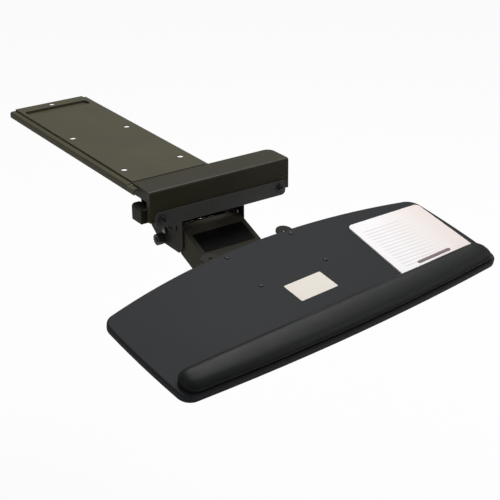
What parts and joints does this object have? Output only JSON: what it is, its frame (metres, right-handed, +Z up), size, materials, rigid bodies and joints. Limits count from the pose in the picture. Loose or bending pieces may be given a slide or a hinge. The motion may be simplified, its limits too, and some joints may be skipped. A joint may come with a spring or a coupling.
{
  "type": "keyboard tray under desk",
  "caption": "Pull-out under-desk keyboard tray on a ceiling track, with a lift arm, tilt and swivel, a palm rest and a mouse pad.",
  "frame": {"origin": "middle of the four desk screw holes, on the track's top face, which meets the underside of the desk", "axes": "+X to the right of the person sitting at the desk, +Y away from them along the track, +Z up"},
  "size_m": [0.6652, 0.8833, 0.202],
  "materials": {
    "track_paint": "olive-brown baked paint, satin",
    "head_paint": "dark olive-brown paint, satin",
    "bar_paint": "dark grey paint, satin",
    "black_paint": "black paint, satin",
    "zinc_steel": "zinc-plated sheet and rod",
    "bright_steel": "plated screw heads with a crossed recess",
    "dark_steel": "black-oxide steel",
    "black_plastic": "moulded, fine texture",
    "board_skin": "charcoal fine-grained laminate",
    "rest_skin": "black leatherette over gel, soft sheen",
    "pad_skin": "pale printed cloth with faint grey lines",
    "bar_print": "thin maroon strip",
    "black_label": "bare black film",
    "white_label": "bare white film"
  },
  "bodies": {
    "track": {"track_channel": "track_paint", "slide_guide": "dark_steel", "guide_glides": "black_plastic", "rear_stop": "black_plastic"},
    "slide": {"slide_bar": "zinc_steel", "slide_glides": "black_plastic", "head_beam": "head_paint", "hood": "head_paint", "side_clip": "head_paint", "gusset_left": "head_paint", "gusset_right": "head_paint", "gusset_bolts": "dark_steel", "arm_rear_rod": "zinc_steel", "link_rear_rod": "zinc_steel", "head_rod_clips": "dark_steel", "lift_springs": "dark_steel", "knob_stud": "dark_steel", "release_bar_screws": "bright_steel", "release_bar_washers": "black_plastic"},
    "release": {"release_bar": "bar_paint"},
    "knob": {"tension_knob": "black_plastic"},
    "arm": {"lift_arm": "head_paint", "arm_bushes": "black_plastic", "arm_label": "black_label"},
    "link": {"parallel_link": "dark_steel"},
    "bracket": {"level_bracket": "head_paint", "arm_front_rod": "zinc_steel", "link_front_rod": "zinc_steel", "tilt_rod": "zinc_steel", "bracket_rod_clips": "dark_steel", "tilt_washers": "black_plastic"},
    "tilt": {"tilt_plate": "dark_steel", "swivel_bolt": "zinc_steel", "swivel_washer": "black_plastic", "swivel_nut": "zinc_steel"},
    "tray": {"swivel_plate": "black_paint", "tray_board": "board_skin", "tray_screws": "bright_steel", "palm_rest_base": "black_plastic", "palm_rest": "rest_skin", "mouse_pad": "pad_skin", "mouse_pad_bar": "bar_print", "tray_label": "white_label"}
  },
  "joints": [
    {"name": "track_slide", "type": "slide", "parent": "track", "child": "slide", "axis": [0, -1, 0], "range_m": [0, 0.25]},
    {"name": "release_lift", "type": "slide", "parent": "slide", "child": "release", "axis": [0, 0, 1], "range_m": [0, 0.006]},
    {"name": "knob_turn", "type": "hinge", "parent": "slide", "child": "knob", "pos_m": [-0.004, -0.112, -0.135], "axis": [1, 0, 0], "continuous": true},
    {"name": "arm_lift", "type": "hinge", "parent": "slide", "child": "arm", "pos_m": [0.066, -0.1317, -0.0947], "axis": [-1, 0, 0], "range_deg": [-15, 25]},
    {"name": "link_swing", "type": "hinge", "parent": "slide", "child": "link", "pos_m": [0.066, -0.12294, -0.11704], "axis": [-1, 0, 0], "range_deg": [-15, 25]},
    {"name": "bracket_level", "type": "hinge", "parent": "arm", "child": "bracket", "pos_m": [0.066, -0.31791, -0.16767], "axis": [-1, 0, 0], "range_deg": [-25, 15]},
    {"name": "tray_tilt", "type": "hinge", "parent": "bracket", "child": "tilt", "pos_m": [0.066, -0.33871, -0.12018], "axis": [-1, 0, 0], "range_deg": [-3.3, 21.7]},
    {"name": "tray_swivel", "type": "hinge", "parent": "tilt", "child": "tray", "pos_m": [0.066, -0.3583, -0.12423], "axis": [0, -0.2028, 0.9792], "range_deg": [-25.7, 14.3]}
  ],
  "couplings": [
    {"joint": "link_swing", "follows": "arm_lift", "ratio": 1},
    {"joint": "bracket_level", "follows": "arm_lift", "ratio": -1}
  ]
}
